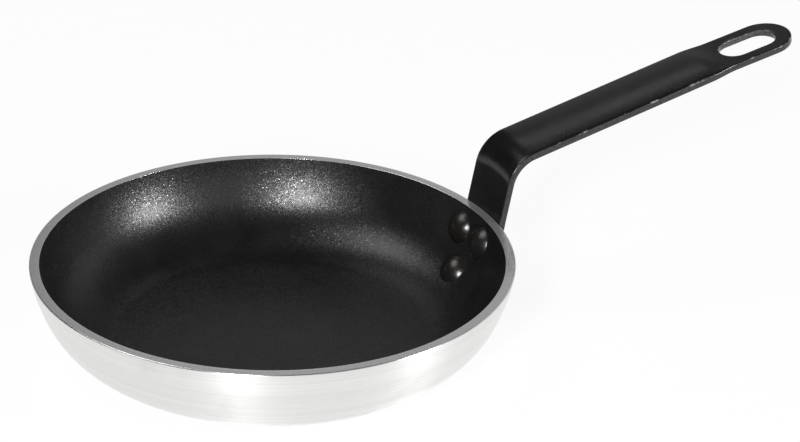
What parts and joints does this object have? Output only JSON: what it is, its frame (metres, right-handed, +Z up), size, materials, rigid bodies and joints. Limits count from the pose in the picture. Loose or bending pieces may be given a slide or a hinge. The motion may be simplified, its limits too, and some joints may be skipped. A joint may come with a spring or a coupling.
{
  "type": "omelette pan",
  "caption": "Round shallow frying pan with curved walls, a dark non-stick lining and a riveted black strip handle that ends in a hanging slot.",
  "frame": {"origin": "middle of the flat underside, on the table", "axes": "+Z up, +X from the middle of the pan out along the handle, +Y to the left of a cook who looks out along the handle"},
  "size_m": [0.4198, 0.2398, 0.1157],
  "materials": {
    "bare_aluminium": "bare metal with a fine turned grain, and a brighter turned rim",
    "nonstick_coating": "satin black coating with fine pale specks",
    "coated_handle": "satin black coating, slightly rubbed along the edges",
    "rivet_finish": "gloss black coating"
  },
  "bodies": {
    "root": {"pan_body": "bare_aluminium", "nonstick_lining": "nonstick_coating", "handle": "coated_handle", "rivet_upper_left": "rivet_finish", "rivet_upper_right": "rivet_finish", "rivet_lower": "rivet_finish"}
  },
  "joints": []
}
